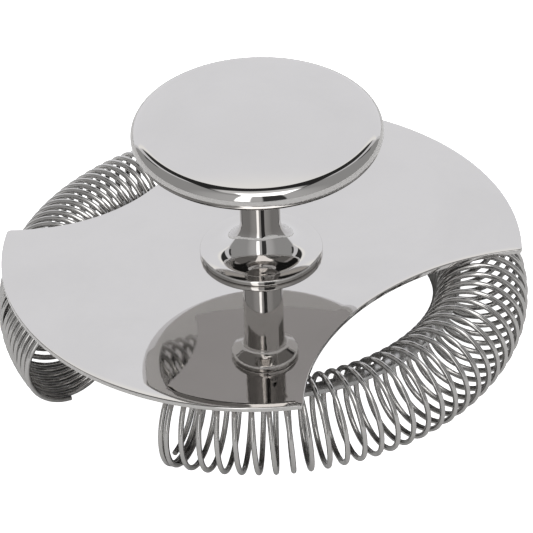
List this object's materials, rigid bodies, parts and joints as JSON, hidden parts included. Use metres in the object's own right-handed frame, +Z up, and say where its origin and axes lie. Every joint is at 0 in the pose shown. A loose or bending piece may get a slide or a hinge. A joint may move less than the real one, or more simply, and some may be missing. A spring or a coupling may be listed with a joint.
{
  "type": "hawthorne strainer",
  "caption": "Cocktail strainer: two-lobed polished plate with a round knob on a turned post and a wire coil spring strung round it below.",
  "frame": {"origin": "on the table, under the middle of the post, at the lowest point of the spring", "axes": "+Z up along the post, +X to the right and +Y away from the side that the larger bite faces"},
  "size_m": [0.102, 0.102, 0.0502],
  "materials": {
    "mirror_steel": "mirror polished stainless steel",
    "spring_wire": "bright drawn stainless spring wire",
    "satin_steel": "satin stainless steel"
  },
  "bodies": {
    "frame": {"plate": "mirror_steel", "post": "mirror_steel", "knob": "mirror_steel", "post_screw": "satin_steel", "post_washer": "satin_steel", "spring_ring": "satin_steel", "ring_post_1": "satin_steel", "ring_post_2": "satin_steel", "ring_post_3": "satin_steel", "ring_post_4": "satin_steel"},
    "front_tail": {"spring_front_tail": "spring_wire"},
    "front_arc": {"spring_front": "spring_wire"},
    "side_arc": {"spring_side": "spring_wire"},
    "back_arc": {"spring_back": "spring_wire"},
    "back_tail": {"spring_back_tail": "spring_wire"}
  },
  "joints": [
    {"name": "front_tail_squeeze", "type": "slide", "parent": "frame", "child": "front_tail", "axis": [0.1659, 0.9861, 0], "range_m": [0, 0.004], "stiffness_N_per_m": 80, "deforming": ["spring_front_tail"]},
    {"name": "front_arc_squeeze", "type": "slide", "parent": "frame", "child": "front_arc", "axis": [-0.783, 0.622, 0], "range_m": [0, 0.006], "stiffness_N_per_m": 200, "deforming": ["spring_front"]},
    {"name": "side_arc_squeeze", "type": "slide", "parent": "frame", "child": "side_arc", "axis": [-0.587, -0.8096, 0], "range_m": [0, 0.006], "stiffness_N_per_m": 200, "deforming": ["spring_side"]},
    {"name": "back_arc_squeeze", "type": "slide", "parent": "frame", "child": "back_arc", "axis": [0.8152, -0.5792, 0], "range_m": [0, 0.006], "stiffness_N_per_m": 200, "deforming": ["spring_back"]},
    {"name": "back_tail_squeeze", "type": "slide", "parent": "frame", "child": "back_tail", "axis": [0.9529, 0.3032, 0], "range_m": [0, 0.004], "stiffness_N_per_m": 80, "deforming": ["spring_back_tail"]}
  ]
}
